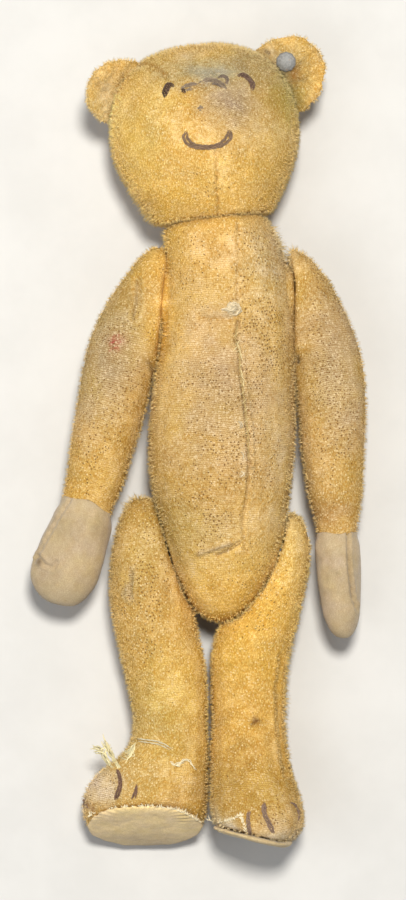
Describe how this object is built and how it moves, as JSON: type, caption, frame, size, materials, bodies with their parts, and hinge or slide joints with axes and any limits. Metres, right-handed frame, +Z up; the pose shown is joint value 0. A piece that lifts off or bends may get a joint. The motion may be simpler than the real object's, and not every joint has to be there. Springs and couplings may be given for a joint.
{
  "type": "threadbare jointed teddy bear",
  "caption": "Old stuffed mohair teddy bear, worn bald, lying on its back, with disc-jointed head, arms and legs, felt paws and soles, sewn face and a blank ear stud.",
  "frame": {"origin": "middle of the flat that the torso's back rests on", "axes": "+Y towards the head, +X towards the bear's own left side, +Z up out of its front"},
  "size_m": [0.1034, 0.2517, 0.05],
  "materials": {
    "mohair": "worn golden mohair with bald woven patches",
    "felt": "soiled grey-beige felt",
    "thread": "faded brown-grey embroidery thread",
    "stud_metal": "dull grey, rust at the rim",
    "steel": "plain steel",
    "card": "pressed brown card"
  },
  "bodies": {
    "body": {"torso": "mohair", "neck_body_disc": "card", "neck_body_washer": "steel", "right_shoulder_body_disc": "card", "right_shoulder_body_washer": "steel", "left_shoulder_body_disc": "card", "left_shoulder_body_washer": "steel", "right_hip_body_disc": "card", "right_hip_body_washer": "steel", "left_hip_body_disc": "card", "left_hip_body_washer": "steel"},
    "head_part": {"head": "mohair", "left_ear": "mohair", "right_ear": "mohair", "ear_stud": "stud_metal", "right_eye_stitch": "thread", "left_eye_stitch": "thread", "brow_stitch": "thread", "nose_stitch": "thread", "mouth_stitch": "thread", "neck_limb_disc": "card", "neck_limb_washer": "steel", "neck_pin": "steel"},
    "right_arm_part": {"right_arm": "mohair", "right_paw_pad": "felt", "right_shoulder_limb_disc": "card", "right_shoulder_limb_washer": "steel", "right_shoulder_pin": "steel"},
    "left_arm_part": {"left_arm": "mohair", "left_paw_pad": "felt", "left_shoulder_limb_disc": "card", "left_shoulder_limb_washer": "steel", "left_shoulder_pin": "steel"},
    "right_leg_part": {"right_leg": "mohair", "right_foot_pad": "felt", "right_claw_outer": "thread", "right_claw_middle": "thread", "right_claw_inner": "thread", "right_hip_limb_disc": "card", "right_hip_limb_washer": "steel", "right_hip_pin": "steel"},
    "left_leg_part": {"left_leg": "mohair", "left_foot_pad": "felt", "left_claw_inner": "thread", "left_claw_middle": "thread", "left_claw_outer": "thread", "left_hip_limb_disc": "card", "left_hip_limb_washer": "steel", "left_hip_pin": "steel"}
  },
  "joints": [
    {"name": "neck", "type": "hinge", "parent": "body", "child": "head_part", "pos_m": [-0.00269, 0.0653, 0.021], "axis": [-0.1045, 0.9945, 0], "continuous": true},
    {"name": "right_shoulder", "type": "hinge", "parent": "body", "child": "right_arm_part", "pos_m": [-0.01918, 0.041, 0.022], "axis": [-0.9945, 0.1045, 0], "range_deg": [-120, 130]},
    {"name": "left_shoulder", "type": "hinge", "parent": "body", "child": "left_arm_part", "pos_m": [0.02287, 0.041, 0.022], "axis": [-1, 0, 0], "range_deg": [-120, 130]},
    {"name": "right_hip", "type": "hinge", "parent": "body", "child": "right_leg_part", "pos_m": [-0.01653, -0.0376, 0.02], "axis": [-0.9563, -0.2924, 0], "range_deg": [-75, 80]},
    {"name": "left_hip", "type": "hinge", "parent": "body", "child": "left_leg_part", "pos_m": [0.01793, -0.0376, 0.02], "axis": [-0.9613, 0.2756, 0], "range_deg": [-75, 80]}
  ]
}
